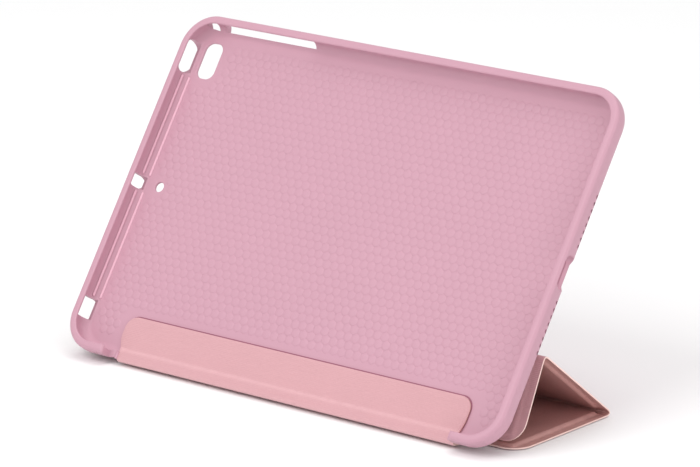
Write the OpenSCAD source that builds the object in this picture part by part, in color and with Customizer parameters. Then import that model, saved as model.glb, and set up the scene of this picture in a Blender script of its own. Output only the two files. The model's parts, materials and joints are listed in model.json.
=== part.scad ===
// Folding tablet case: a soft moulded tray that holds the tablet, and a laminated cover whose
// three stiffened panels fold behind the tray into a triangular stand.
// Frame: X along the tray's long side, Y rearward, Z up. The origin is the middle of the
// underside of the panel that lies on the table. All lengths are millimetres.

/* [Tray] */
// Long side of the tray, outside
tray_l = 208.4; // [196:0.2:216]
// Short side of the tray, outside
tray_w = 140.2; // [132:0.2:148]
// Depth of the tray from lip to back
tray_t = 8.4; // [8:0.1:9]
// Outer corner radius seen from the front
tray_corner_r = 13.8; // [12:0.1:16]
// Radius that rounds the sides into the back
back_r = 4.4; // [3.8:0.1:4.6]
// Floor thickness
floor_t = 1.2; // [1:0.1:1.6]
// Side wall thickness at the lip
wall_t = 2.4; // [2:0.1:2.8]
// Width of the rim, wall and retaining lip together
rim_w = 3.3; // [3:0.1:3.6]
// Thickness of the retaining lip
lip_t = 1.1; // [0.9:0.1:1.3]
// Radius of the fillet between wall and floor
fillet_r = 3.7; // [3.2:0.1:4]

/* [Stand] */
// Lean of the tray from the vertical, degrees
lean = 34.5; // [32:0.5:37]
// Height of the tray's lower front edge above the table
tray_lift = 5.6; // [5.4:0.1:6.4]
// Length of the spine strip between its two folds
spine_w = 8.6; // [8.4:0.1:9.2]
// Width of the panel that lies on the table, fold to fold
ground_panel_w = 56.6; // [54:0.2:58]
// Width of the rear panel, fold to fold
rear_panel_w = 49; // [47:0.2:51]
// Width of the front panel, fold to free edge
front_panel_w = 32; // [30:0.2:34]
// Distance of the front panel's free edge behind the spine fold
foot_setback = 4.2; // [3:0.1:6]

/* [Cover] */
// Length of the cover along the folds
cover_l = 207.4; // [195:0.2:215]
// Thickness of the outer leather skin
skin_t = 0.5; // [0.4:0.1:0.6]
// Thickness of the inner microfibre lining
lining_t = 0.6; // [0.5:0.1:0.7]
// Thickness of the stiffener board
board_t = 0.9; // [0.7:0.1:1]
// Bare laminate border outside the board at the panel ends
end_border = 5; // [4:0.5:7]
// Setback of the panel from each fold line
fold_gap = 1.8; // [1.6:0.1:2.2]
// Radius of the cover's free corners
cover_corner_r = 8; // [6:0.5:10]

/* [Glued tab] */
// Length of the tab along the tray
tab_l = 164; // [150:1:165]
// Length of the spine strip and its two small folds along the tray
strip_l = 164; // [148:1:166]
// Height of the tab on the tray floor
tab_h = 18; // [15:0.5:24]
// Corner radius of the tab
tab_corner_r = 5; // [3:0.5:7]
// Thickness of the glue film under the tab
glue_t = 0.2; // [0.1:0.05:0.3]

/* [Cut-outs] */
// Length of the gap in the lower wall that the spine passes through
gap_l = 167; // [166:1:170]
// Width of the camera opening in the floor
camera_w = 8.4; // [7:0.2:10]
// Height of the camera opening in the floor
camera_h = 15; // [13:0.5:18]
// Length of the slot for the volume keys
volume_l = 43; // [30:1:46]
// Length of the opening for the power key
power_l = 13; // [11:0.5:15]
// Length of the opening for the headphone plug
plug_l = 8; // [7:0.5:9]
// Length of the notch for the charging plug
port_l = 13; // [11:0.5:15]
// Depth range of the side openings, from just under the lip
opening_h = 5.9; // [5.5:0.1:6]
// Width of the small openings for the microphone and the key beside the volume slot
small_w = 4.6; // [4:0.1:5.4]
// Number of speaker holes on each side of the charging notch
speaker_holes = 8; // [4:1:9]
// Spacing of the speaker holes
speaker_pitch = 2.8; // [2.5:0.1:3]

/* [Magnets] */
// Length of a bar magnet
magnet_l = 10; // [6:1:14]
// Width of a bar magnet
magnet_w = 4; // [3:0.5:5]
// Positions of the magnets along the folds, from the middle
magnet_x = 84; // [60:2:90]

/* [Hidden] */
$fn = 48;

floor_z = -tray_t + floor_t;            // top of the floor, measured from the lip plane
foot_in = wall_t + fillet_r;            // inward distance at which the flat floor starts
sheet_t = skin_t + lining_t;            // bare laminate
panel_t = sheet_t + board_t;            // laminate with the board inside
axis_in = 0.4;                          // fold axis below the leather face of a panel
axis_out = panel_t - axis_in;           // fold axis above the lining face of a panel
fold_in = axis_out - sheet_t;           // inner radius of a folded strip
strip_drop = 0.1;                       // spine strip's leather face below the line of its folds
strip_gap = 1.5;                        // setback of the spine strip from its folds
tab_start = 3.2;                        // lower end of the glued part of the tab
board_inset = 1;                        // setback of the board from the panel's fold edges
free_border = 3;                        // bare laminate border at a panel's free side
magnet_in = 7;                          // distance of the magnets from a panel's free side
cut_reach = 12;                         // length of a cutter, longer than any wall it crosses

// Openings: u is the place along the tray's long side, v the height up the tray.
opening_top = -lip_t - 0.2;             // upper edge of the side openings, below the lip plane
camera_at = [-92.6, 123.6];
microphone_at = [-92.4, 70.1];
microphone_r = 2;
power_v = 123.2;                        // left end
edge_microphone_v = 69.8;
plug_v = 16.8;
port_v = 70.1;                          // right end
small_key_u = -95;                      // upper side
volume_u = -66.6;
speaker_start = 11;                     // first speaker hole from the middle of the port
speaker_n = -5.6;                       // depth of the speaker holes below the lip
speaker_r = 0.8;
// Grip beads inside the left wall: distance in from the outside, height to the lip, radius.
beads = [[wall_t + 0.1, -2.9, 0.45], [wall_t + 1.5, -6.3, 0.5]];

// Places in the side view are [y, z] pairs. tray_point turns a height along the tray and a
// depth below its lip into such a pair, before the shift that centres the ground panel.
function tray_point(v, n) =
    [v * sin(lean) - n * cos(lean), tray_lift + v * cos(lean) + n * sin(lean)];
tab_pivot_v = 0.6;                      // height of the tab's fold line on the tray
tab_pivot_n = -6.6;                     // depth of the tab's fold line below the lip
raw_tab = tray_point(tab_pivot_v, tab_pivot_n);
drop = raw_tab[1] - axis_out;
raw_spine_y = raw_tab[0] + sqrt(spine_w * spine_w - drop * drop);
shift_y = -(raw_spine_y + ground_panel_w / 2);

tab_pivot = [raw_tab[0] + shift_y, raw_tab[1]];
spine_pivot = [-ground_panel_w / 2, axis_out];
tip_pivot = [ground_panel_w / 2, axis_out];
foot = [spine_pivot[0] + foot_setback, panel_t + axis_in + 0.1];

// The ridge closes the triangle of the rear panel, the front panel and the base.
base_v = foot - tip_pivot;
base = norm(base_v);
tip_angle = acos((rear_panel_w * rear_panel_w + base * base - front_panel_w * front_panel_w)
    / (2 * rear_panel_w * base));
rear_dir = atan2(base_v[1], base_v[0]) + 360 * (base_v[1] < 0 ? 1 : 0) - tip_angle;
ridge_pivot = tip_pivot + rear_panel_w * [cos(rear_dir), sin(rear_dir)];
front_dir = 360 + atan2(foot[1] - ridge_pivot[1], foot[0] - ridge_pivot[0]);
strip_dir = atan2(spine_pivot[1] - tab_pivot[1], spine_pivot[0] - tab_pivot[0]);

leather = "#b98280";
lining_pink = "#e4abb1";
soft_pink = "#dfaabc";
board_grey = "#9a948c";
steel_grey = "#8b8f94";

// A flat shape with round corners, centred, exact in plan.
module rounded_rect(l, w, r) {
    square([l - 2 * r, w], center = true);
    square([l, w - 2 * r], center = true);
    for (sx = [-1, 1], sy = [-1, 1])
        translate([sx * (l / 2 - r), sy * (w / 2 - r)]) circle(r);
}

// Points of an arc about [cx, cy] from angle a0 to a1.
function arc(cx, cy, r, a0, a1, steps = 8) =
    [for (i = [0:steps]) let (a = a0 + (a1 - a0) * i / steps) [cx + r * cos(a), cy + r * sin(a)]];

// Point at y along a direction from a fold line and z to its left, which is the leather side.
function along(pivot, direction, y, z) =
    pivot + [y * cos(direction) - z * sin(direction), y * sin(direction) + z * cos(direction)];

// Section of the tray's wall: x is the distance in from the outside, y the height to the lip.
wall_points = concat(
    arc(1, -1, 1, 90, 180, 4),
    arc(back_r, -tray_t + back_r, back_r, 180, 270, 10),
    [[foot_in, -tray_t], [foot_in, floor_z]],
    arc(foot_in, floor_z + fillet_r, fillet_r, 270, 180, 8),
    [[wall_t, -lip_t], [rim_w - 0.2, -lip_t]],
    arc(rim_w - 0.4, -0.4, 0.4, 0, 90, 3));

module wall_run(length) {
    rotate([90, 0, 0])
        linear_extrude(length, center = true) polygon(wall_points);
}

module wall_corner() {
    rotate_extrude(angle = 90)
        polygon([for (p = wall_points) [tray_corner_r - p[0], p[1]]]);
}

// Places its children on the leaning tray, whose own frame is x along, y up, z to the front.
module on_tray() {
    translate([0, shift_y, tray_lift]) rotate([90 - lean, 0, 0]) children();
}

// Opening through the wall at the tray's left or right end.
module end_opening(side, v, length, height, r) {
    translate([side * (tray_l / 2 - 4), v, opening_top - height / 2])
        rotate([90, 0, 90])
            linear_extrude(cut_reach + 2, center = true) rounded_rect(length, height, r);
}

// Opening through the tray's upper wall.
module top_opening(u, length, height, r) {
    translate([u, tray_w - 2, opening_top - opening_h / 2])
        rotate([90, 0, 0])
            linear_extrude(cut_reach, center = true) rounded_rect(length, height, r);
}

module tray_shell() {
    translate([0, tray_w / 2, 0]) {
        for (side = [0, 180]) rotate([0, 0, side]) {
            translate([-tray_l / 2, 0, 0]) wall_run(tray_w - 2 * tray_corner_r);
            translate([tray_l / 2 - tray_corner_r, tray_w / 2 - tray_corner_r, 0]) wall_corner();
            translate([0, -tray_w / 2, 0]) rotate([0, 0, 90]) wall_run(tray_l - 2 * tray_corner_r);
            translate([-tray_l / 2 + tray_corner_r, tray_w / 2 - tray_corner_r, 0])
                rotate([0, 0, 90]) wall_corner();
        }
        translate([0, 0, -tray_t])
            linear_extrude(floor_t)
                rounded_rect(tray_l - 2 * foot_in + 0.2, tray_w - 2 * foot_in + 0.2,
                    tray_corner_r - foot_in + 0.1);
    }
    // Two grip beads along the inside of the left wall
    for (bead = beads)
        translate([-tray_l / 2 + bead[0], tray_w / 2, bead[1]])
            rotate([90, 0, 0]) cylinder(h = tray_w - 2 * tray_corner_r, r = bead[2], center = true);
}

module tray() {
    color(soft_pink) on_tray() difference() {
        tray_shell();
        // Gap in the lower wall for the spine
        translate([0, 2, floor_z + 8]) rotate([90, 0, 0])
            linear_extrude(cut_reach, center = true) rounded_rect(gap_l, 16, 2.5);
        // Camera and rear microphone openings
        translate([camera_at[0], camera_at[1], -tray_t])
            linear_extrude(cut_reach, center = true) rounded_rect(camera_w, camera_h, 3.2);
        translate([microphone_at[0], microphone_at[1], -tray_t])
            cylinder(h = cut_reach, r = microphone_r, center = true);
        // Left end: power key, edge microphone, headphone plug
        end_opening(-1, power_v, power_l, opening_h, 2.8);
        end_opening(-1, edge_microphone_v, small_w + 0.8, opening_h - 0.5, 1.6);
        end_opening(-1, plug_v, plug_l, opening_h, 0.8);
        // Right end: charging notch and the speaker holes
        end_opening(1, port_v, port_l, opening_h, 2.6);
        for (side = [-1, 1], i = [0:speaker_holes - 1])
            translate([tray_l / 2, port_v + side * (speaker_start + i * speaker_pitch), speaker_n])
                rotate([0, 90, 0]) cylinder(h = cut_reach - 4, r = speaker_r, center = true);
        // Upper side: key opening and volume slot
        top_opening(small_key_u, small_w, small_w, 2);
        top_opening(volume_u, volume_l, opening_h, 2.6);
    }
}

// Sheet of the tab, from height z0 above the tray floor, rounded at its two upper corners.
module tab_sheet(z0, thickness, trim) {
    on_tray() translate([0, 0, floor_z + z0]) linear_extrude(thickness) {
        translate([0, (tab_start + tab_h) / 2])
            rounded_rect(tab_l - 2 * trim, tab_h - tab_start - 2 * trim, tab_corner_r);
        translate([0, tab_start + tab_corner_r / 2 + trim / 2])
            square([tab_l - 2 * trim, tab_corner_r - trim], center = true);
    }
}

module tab_adhesive() color("#d9d2b8") tab_sheet(0, glue_t, 0.6);
module tab_skin() color(leather) tab_sheet(glue_t, skin_t, 0);
module tab_lining() color(lining_pink) tab_sheet(glue_t + skin_t, lining_t, 0);

// Puts its children on a fold line and turns them so that local y runs along the next panel
// and local z points to the leather side.
module from_fold(pivot, direction) {
    translate([0, pivot[0], pivot[1]]) rotate([direction, 0, 0]) children();
}

// A plate of the laminate between local y0 and y1 and local z0 and z1.
module plate(length, y0, y1, z0, z1) {
    translate([-length / 2, y0, z0]) cube([length, y1 - y0, z1 - z0]);
}

// Outline of a panel from y0 to y1; the corners at the rounded end have the cover's radius.
module panel_outline(y0, y1, round_low, round_high) {
    r = cover_corner_r;
    low = y0 + (round_low ? r : 0);
    high = y1 - (round_high ? r : 0);
    translate([0, (y0 + y1) / 2]) square([cover_l - 2 * r, y1 - y0], center = true);
    for (sx = [-1, 1]) {
        translate([sx * (cover_l - r) / 2, (low + high) / 2])
            square([r, high - low], center = true);
        if (round_low) translate([sx * (cover_l / 2 - r), y0 + r]) circle(r);
        if (round_high) translate([sx * (cover_l / 2 - r), y1 - r]) circle(r);
    }
}

// Leather of a panel: flat on the lining round the border and raised over the board.
module panel_skin(pivot, direction, y0, y1, round_low, round_high) {
    board_l = cover_l - 2 * end_border;
    b0 = y0 + (round_low ? free_border : board_inset);
    b1 = y1 - (round_high ? free_border : board_inset);
    color(leather) from_fold(pivot, direction) difference() {
        union() {
            translate([0, 0, -axis_out + lining_t])
                linear_extrude(skin_t) panel_outline(y0, y1, round_low, round_high);
            plate(board_l + 2 * skin_t, b0 - skin_t, b1 + skin_t, -axis_out + lining_t, axis_in);
        }
        plate(board_l, b0, b1, -axis_out, axis_in - skin_t);
    }
}

module panel_board(pivot, direction, y0, y1, pockets) {
    color(board_grey) from_fold(pivot, direction) difference() {
        plate(cover_l - 2 * end_border, y0, y1, -axis_out + lining_t, axis_in - skin_t);
        for (x = pockets[0]) translate([x, pockets[1], 0])
            cube([magnet_l, magnet_w, 2 * panel_t], center = true);
    }
}

module panel_lining(pivot, direction, y0, y1, round_low, round_high) {
    color(lining_pink) from_fold(pivot, direction) translate([0, 0, -axis_out])
        linear_extrude(lining_t) panel_outline(y0, y1, round_low, round_high);
}

module panel_magnets(pivot, direction, pockets) {
    color(steel_grey) from_fold(pivot, direction)
        for (x = pockets[0])
            translate([x - magnet_l / 2, pockets[1] - magnet_w / 2, -axis_out + lining_t])
                cube([magnet_l, magnet_w, board_t]);
}

ground_span = [fold_gap, ground_panel_w - fold_gap];
rear_span = [fold_gap, rear_panel_w - fold_gap];
front_span = [fold_gap, front_panel_w];
outer_pair = [-magnet_x, magnet_x];
four_row = [-magnet_x, -magnet_x / 3, magnet_x / 3, magnet_x];
ground_pockets = [four_row, ground_span[0] + magnet_in];
rear_pockets = [outer_pair, rear_panel_w / 2];
front_pockets = [four_row, front_span[1] - magnet_in];

module ground_skin() panel_skin(spine_pivot, 0, ground_span[0], ground_span[1], true, false);
module ground_board()
    panel_board(spine_pivot, 0, ground_span[0] + free_border, ground_span[1] - board_inset,
        ground_pockets);
module ground_lining() panel_lining(spine_pivot, 0, ground_span[0], ground_span[1], true, false);
module ground_magnets() panel_magnets(spine_pivot, 0, ground_pockets);

module rear_skin() panel_skin(tip_pivot, rear_dir, rear_span[0], rear_span[1], false, false);
module rear_board()
    panel_board(tip_pivot, rear_dir, rear_span[0] + board_inset, rear_span[1] - board_inset,
        rear_pockets);
module rear_lining() panel_lining(tip_pivot, rear_dir, rear_span[0], rear_span[1], false, false);
module rear_magnets() panel_magnets(tip_pivot, rear_dir, rear_pockets);

module front_skin() panel_skin(ridge_pivot, front_dir, front_span[0], front_span[1], false, true);
module front_board()
    panel_board(ridge_pivot, front_dir, front_span[0] + board_inset, front_span[1] - free_border,
        front_pockets);
module front_lining()
    panel_lining(ridge_pivot, front_dir, front_span[0], front_span[1], false, true);
module front_magnets() panel_magnets(ridge_pivot, front_dir, front_pockets);

// Layers of the spine strip, leather face up at rest.
module spine_layer(z1, z0, trim) {
    from_fold(tab_pivot, strip_dir)
        plate(strip_l - 2 * trim, strip_gap + trim, spine_w - strip_gap - trim,
            -strip_drop - z0, -strip_drop - z1);
}
spine_board_t = 0.3;
spine_skin_t = 0.4;
module spine_skin() color(leather) spine_layer(0, spine_skin_t, 0);
module spine_board() color(board_grey) spine_layer(spine_skin_t, spine_skin_t + spine_board_t, 0);
module spine_lining() color(lining_pink) spine_layer(spine_skin_t + spine_board_t, sheet_t, 0);

// A strip folded round a fold line, as a prism on its section: an arc from one panel's
// direction to the next, with a straight run of the fold gap at each end.
module fold_layer(pivot, d0, d1, r0, r1) {
    rotate([90, 0, 90]) linear_extrude(cover_l, center = true) polygon(concat(
        [along(pivot, d0, -fold_gap, -r1)],
        arc(pivot[0], pivot[1], r1, d0 - 90, d1 - 90, 14),
        [along(pivot, d1, fold_gap, -r1), along(pivot, d1, fold_gap, -r0)],
        arc(pivot[0], pivot[1], r0, d1 - 90, d0 - 90, 14),
        [along(pivot, d0, -fold_gap, -r0)]));
}

module panel_fold_skin(pivot, d0, d1) {
    color(leather) fold_layer(pivot, d0, d1, fold_in, fold_in + skin_t);
}
module panel_fold_lining(pivot, d0, d1) {
    color(lining_pink) fold_layer(pivot, d0, d1, fold_in + skin_t, axis_out);
}
module tip_fold_skin() panel_fold_skin(tip_pivot, 0, rear_dir);
module tip_fold_lining() panel_fold_lining(tip_pivot, 0, rear_dir);
module ridge_fold_skin() panel_fold_skin(ridge_pivot, rear_dir, front_dir);
module ridge_fold_lining() panel_fold_lining(ridge_pivot, rear_dir, front_dir);

// The strips at the two small folds of the spine lie between faces that differ a little in
// height, so each is a prism between its two end lines.
module joining_strip(a0, a1, b0, b1) {
    rotate([90, 0, 90]) linear_extrude(strip_l, center = true) polygon([a0, a1, b1, b0]);
}
strip_end = spine_w - strip_gap;
module spine_fold_skin() color(leather) joining_strip(
    along(tab_pivot, strip_dir, strip_end, -strip_drop),
    along(tab_pivot, strip_dir, strip_end, -strip_drop - skin_t),
    along(spine_pivot, 0, fold_gap, -fold_in),
    along(spine_pivot, 0, fold_gap, -fold_in - skin_t));
module spine_fold_lining() color(lining_pink) joining_strip(
    along(tab_pivot, strip_dir, strip_end, -strip_drop - skin_t),
    along(tab_pivot, strip_dir, strip_end, -strip_drop - sheet_t),
    along(spine_pivot, 0, fold_gap, -fold_in - skin_t),
    along(spine_pivot, 0, fold_gap, -axis_out));

// The bend that brings the tab off the tray floor and under the tray: down from the tab's
// lower end, round a small arc, and on to the start of the spine strip.
bend_r = 0.35;                          // inner radius of the bend
bend_n = floor_z + glue_t - bend_r;     // depth of the arc's centre below the lip
bend_z = along(tab_pivot, strip_dir, strip_gap, -strip_drop)[1] + bend_r;
bend_v = (bend_z - tray_lift - bend_n * sin(lean)) / cos(lean);
bend_centre = tray_point(bend_v, bend_n) + [shift_y, 0];
function tab_edge(depth) = tray_point(tab_start, floor_z + glue_t + depth) + [shift_y, 0];
function strip_edge(depth) = along(tab_pivot, strip_dir, strip_gap, -strip_drop - depth);
function bend_arc(depth, from, to) =
    arc(bend_centre[0], bend_centre[1], bend_r + depth, from, to, 10);
module bend_layer(depth0, depth1) {
    a0 = 180 - lean;
    a1 = 270 + strip_dir;
    rotate([90, 0, 90]) linear_extrude(strip_l, center = true)
        polygon(concat([tab_edge(depth1)], bend_arc(depth1, a0, a1),
            [strip_edge(depth1), strip_edge(depth0)], bend_arc(depth0, a1, a0), [tab_edge(depth0)]));
}
module tab_bend_skin() color(leather) bend_layer(0, skin_t);
module tab_bend_lining() color(lining_pink) bend_layer(skin_t, sheet_t);

tray();
tab_adhesive();
tab_skin();
tab_lining();
spine_skin();
spine_board();
spine_lining();
ground_skin();
ground_board();
ground_lining();
ground_magnets();
rear_skin();
rear_board();
rear_lining();
rear_magnets();
front_skin();
front_board();
front_lining();
front_magnets();
tab_bend_skin();
tab_bend_lining();
spine_fold_skin();
spine_fold_lining();
tip_fold_skin();
tip_fold_lining();
ridge_fold_skin();
ridge_fold_lining();
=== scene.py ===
# %% [markdown]
# # A folding tablet case
#
# The case has two halves. A soft moulded tray holds the tablet, and a laminated cover is glued
# into it. The cover folds behind the tray into a triangular tube, which is the stand.
# The CAD model gives every size, fold line and angle. This lesson dresses it: each new surface
# is a formula on a grid of points, worked out with numpy, and each finish is a node material.

# %% Tools and frame
import json

import bmesh
import bpy
import numpy as np
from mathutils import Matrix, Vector


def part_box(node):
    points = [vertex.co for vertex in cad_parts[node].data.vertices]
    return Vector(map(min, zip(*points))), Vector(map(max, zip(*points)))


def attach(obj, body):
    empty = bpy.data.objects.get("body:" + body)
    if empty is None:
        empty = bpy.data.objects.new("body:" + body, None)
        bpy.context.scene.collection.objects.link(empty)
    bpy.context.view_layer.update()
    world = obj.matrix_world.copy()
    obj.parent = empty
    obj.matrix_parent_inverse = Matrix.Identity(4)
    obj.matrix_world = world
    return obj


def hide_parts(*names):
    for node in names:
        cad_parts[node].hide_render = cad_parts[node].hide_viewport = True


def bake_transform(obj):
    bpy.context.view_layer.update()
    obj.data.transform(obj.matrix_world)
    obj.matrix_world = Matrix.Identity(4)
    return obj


MM = 0.001
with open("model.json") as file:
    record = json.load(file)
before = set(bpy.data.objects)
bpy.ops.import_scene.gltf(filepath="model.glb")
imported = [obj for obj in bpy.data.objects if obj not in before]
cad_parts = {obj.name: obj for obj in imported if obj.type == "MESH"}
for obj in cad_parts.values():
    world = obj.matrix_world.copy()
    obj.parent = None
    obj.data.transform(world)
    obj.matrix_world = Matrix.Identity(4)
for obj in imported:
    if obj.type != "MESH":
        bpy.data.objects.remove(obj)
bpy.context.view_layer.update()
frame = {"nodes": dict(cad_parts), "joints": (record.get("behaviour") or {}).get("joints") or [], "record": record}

# %% [markdown]
# ## Reading the frame
#
# Sizes and directions come from the frame. The tray leans back, so it gets axes of its own: u
# along its long side, v up its face and n out of it towards the tablet. The seat mount gives the
# direction of n, and the tray's own points give its size. Each cover panel runs from one fold
# line to the next, and the joints say where those lines are.


# %% Tray axes and sizes
def node_points(node):
    """All the points of a CAD node as rows of x, y, z."""
    mesh = frame["nodes"][node].data
    flat = np.empty(3 * len(mesh.vertices))
    mesh.vertices.foreach_get("co", flat)
    return flat.reshape(-1, 3)


seat = next(m for m in frame["record"]["mounts"] if m["name"] == "tablet_seat")
tray_out = np.array(seat["axis"])
tray_up = np.array([0.0, tray_out[2], -tray_out[1]])
tray_cloud = node_points("tray")
TRAY_HALF = tray_cloud[:, 0].max()
V_FOOT = (tray_cloud @ tray_up).min()
N_LIP = (tray_cloud @ tray_out).max()
TRAY_W = (tray_cloud @ tray_up).max() - V_FOOT
TRAY_T = N_LIP - (tray_cloud @ tray_out).min()
FLOOR_N = np.array(seat["pos_m"]) @ tray_out - N_LIP
print("tray", TRAY_HALF, TRAY_W, TRAY_T, "floor at", FLOOR_N)


def tray_place(u, v, n):
    """Points of the tray: u along x, v up the face from its lower side, n out from the lip."""
    u, v, n = np.broadcast_arrays(u, v, n)
    out = np.zeros(u.shape + (3,))
    out[..., 0] = u
    return out + (v + V_FOOT)[..., None] * tray_up + (n + N_LIP)[..., None] * tray_out


# %% Fold lines and panel directions
fold = {j["name"]: np.array(j["pos_m"])[1:] for j in frame["joints"]}


def heading(start, end):
    """Angle of the line between two points of the side view, in radians."""
    return np.arctan2(*(end - start)[::-1])


def side_place(start, angle, x, s, h):
    """Points s along a direction from a fold line and h to its left, the leather side."""
    x, s, h = np.broadcast_arrays(x, s, h)
    c, q = np.cos(angle), np.sin(angle)
    return np.stack([x, start[0] + s * c - h * q, start[1] + s * q + h * c], -1)


def side_read(start, angle, points):
    """The s and h of points: the inverse of side_place."""
    c, q = np.cos(angle), np.sin(angle)
    y, z = points[:, 1] - start[0], points[:, 2] - start[1]
    return y * c + z * q, z * c - y * q


STRIP_DIR = heading(fold["tab_fold"], fold["spine_fold"])
GROUND_DIR = heading(fold["spine_fold"], fold["tip_fold"])
REAR_DIR = heading(fold["tip_fold"], fold["ridge_fold"])
LINING_FACE = -side_read(fold["tip_fold"], REAR_DIR, node_points("rear_lining"))[1].min()
LEATHER_FACE = side_read(fold["tip_fold"], REAR_DIR, node_points("rear_skin"))[1].max()


def flat_heading(node, start):
    """Angle of a flat plate seen edge on: the direction in which its points spread most."""
    side = node_points(node)[:, 1:]
    spread = np.linalg.svd(side - side.mean(0), full_matrices=False)[2][0]
    away = spread * np.sign(spread @ (side.mean(0) - start))
    return np.arctan2(away[1], away[0])


FRONT_DIR = flat_heading("front_lining", fold["ridge_fold"])
COVER_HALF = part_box("ground_lining")[1].x
FRONT_W = side_read(fold["ridge_fold"], FRONT_DIR, node_points("front_lining"))[0].max()
GROUND_W = np.linalg.norm(fold["tip_fold"] - fold["spine_fold"])
REAR_W = np.linalg.norm(fold["ridge_fold"] - fold["tip_fold"])
STRIP_W = np.linalg.norm(fold["spine_fold"] - fold["tab_fold"])
print("panels", GROUND_W, REAR_W, FRONT_W, "faces", LINING_FACE, LEATHER_FACE)
print("headings", np.degrees([STRIP_DIR, GROUND_DIR, REAR_DIR, FRONT_DIR]))

# %% [markdown]
# ## From formulas to meshes
#
# Every sheet here is a grid: rows one way, columns the other. The helpers below number the
# quads of a grid, close two grids into a thin solid with a rim, and hand the arrays to Blender.
# Stations are the places where a grid is sampled, and they crowd together where a form turns.


# %% Grid helpers
def smooth(t):
    """A step from 0 to 1 with level ends: 3t^2 - 2t^3 on t held between 0 and 1."""
    t = np.clip(t, 0, 1)
    return t * t * (3 - 2 * t)


def stations(low, high, coarse, marks=(), fine=1.0, reach=1.0):
    """Places from low to high: a coarse spacing, and a fine one within reach of each mark."""
    places = [np.linspace(low, high, int(np.ceil((high - low) / coarse)) + 1)]
    places += [np.arange(m - reach, m + reach + fine / 2, fine) for m in marks]
    every = np.unique(np.concatenate(places))
    every = every[(every > low) & (every < high)]
    every = np.concatenate([[low], every, [high]])
    keep = np.concatenate([[True], np.diff(every) > 0.35 * min(fine, coarse)])
    keep[-1] = True
    return every[keep]


def quad_grid(rows, cols, wrap_rows=False, wrap_cols=False):
    """Corner numbers of the quads between neighbouring rows and columns."""
    i = np.arange(rows if wrap_rows else rows - 1)[:, None]
    j = np.arange(cols if wrap_cols else cols - 1)[None, :]
    i2, j2 = (i + 1) % rows, (j + 1) % cols
    corners = (i * cols + j, i2 * cols + j, i2 * cols + j2, i * cols + j2)
    return np.stack(np.broadcast_arrays(*corners), -1).reshape(-1, 4)


def rim_of(rows, cols):
    """Numbers of the outermost points of a grid, once round."""
    index = np.arange(rows * cols).reshape(rows, cols)
    return np.concatenate([index[0, :-1], index[:-1, -1], index[-1, :0:-1], index[:0:-1, 0]])


# %% Mesh helper
def piece(name, points, faces, slot, finishes, body=None, uv=None, rim=None, values=None,
          angle=40):
    """A mesh object from arrays. rim marks the faces that take the second finish, uv is one
    pair per point, and values maps attribute names to one number per point."""
    mesh = bpy.data.meshes.new(name)
    mesh.from_pydata(points.reshape(-1, 3).tolist(), [], [list(map(int, f)) for f in faces])
    for finish in finishes:
        mesh.materials.append(finish)
    if rim is not None:
        mesh.polygons.foreach_set("material_index", np.asarray(rim, np.int32))
    if uv is not None:
        corner = np.empty(len(mesh.loops), np.int32)
        mesh.loops.foreach_get("vertex_index", corner)
        layer = mesh.uv_layers.new(name="cover")
        layer.data.foreach_set("uv", uv.reshape(-1, 2)[corner].astype(np.float32).ravel())
    for key, value in (values or {}).items():
        layer = mesh.attributes.new(key, "FLOAT", "POINT")
        layer.data.foreach_set("value", value.astype(np.float32).ravel())
    tidy_normals(mesh, angle)
    made = bpy.data.objects.new(name, mesh)
    bpy.context.scene.collection.objects.link(made)
    if body:
        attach(made, body)
    print(name, len(mesh.polygons), "faces")
    return made


def tidy_normals(mesh, angle):
    """Turns all faces outwards and shades them smooth, with sharp edges past an angle."""
    work = bmesh.new()
    work.from_mesh(mesh)
    bmesh.ops.recalc_face_normals(work, faces=work.faces)
    work.to_mesh(mesh)
    work.free()
    mesh.shade_smooth()
    mesh.set_sharp_from_angle(angle=np.radians(angle))


def closed_sheet(name, top, bottom, uv, slot, finishes, body=None, highlight_paint=None):
    """A thin solid between two grids of the same shape, with a rim in the second finish."""
    rows, cols = top.shape[:2]
    count = rows * cols
    quads = quad_grid(rows, cols)
    ring = rim_of(rows, cols)
    after = np.roll(ring, -1)
    side = np.stack([ring, after, after + count, ring + count], -1)
    faces = np.concatenate([quads, quads[:, ::-1] + count, side])
    is_rim = np.arange(len(faces)) >= 2 * len(quads)
    points = np.concatenate([top.reshape(-1, 3), bottom.reshape(-1, 3)])
    both = np.concatenate([uv.reshape(-1, 2)] * 2)
    # The mark per point paints a highlight: the finishes lighten where it is high.
    highlight_paint = np.zeros(uv.shape[:2]) if highlight_paint is None else highlight_paint
    marks = {"highlight_paint": np.concatenate([highlight_paint.ravel()] * 2)}
    return piece(name, points, faces, slot, finishes, body, both, is_rim, marks)


# %% [markdown]
# ## Finishes
#
# Four materials make the case: a soft moulded plastic with a dull bloom, a coated leather
# cloth, a brushed microfibre lining and the pale raw core that shows wherever the laminate is
# cut. All of them drift a little in tone over a few centimetres, as real batches do, so that
# effect is one node group. A second group makes fine grain for their bump.


# %% Node helpers
def srgb(r, g, b):
    """A colour given in screen values 0 to 255, as the linear values that shaders use."""
    c = np.array([r, g, b]) / 255
    linear = np.where(c <= 0.04045, c / 12.92, ((c + 0.055) / 1.055) ** 2.4)
    return (*linear.tolist(), 1.0)


def node_group(name, inputs, outputs):
    """An empty shader group with named sockets. Each is (name, kind, default)."""
    group = bpy.data.node_groups.new(name, "ShaderNodeTree")
    for key, kind, default in inputs:
        socket = group.interface.new_socket(key, in_out="INPUT", socket_type=f"NodeSocket{kind}")
        if default is not None:
            socket.default_value = default
    for key, kind in outputs:
        group.interface.new_socket(key, in_out="OUTPUT", socket_type=f"NodeSocket{kind}")
    return group, group.nodes.new("NodeGroupInput"), group.nodes.new("NodeGroupOutput")


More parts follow.
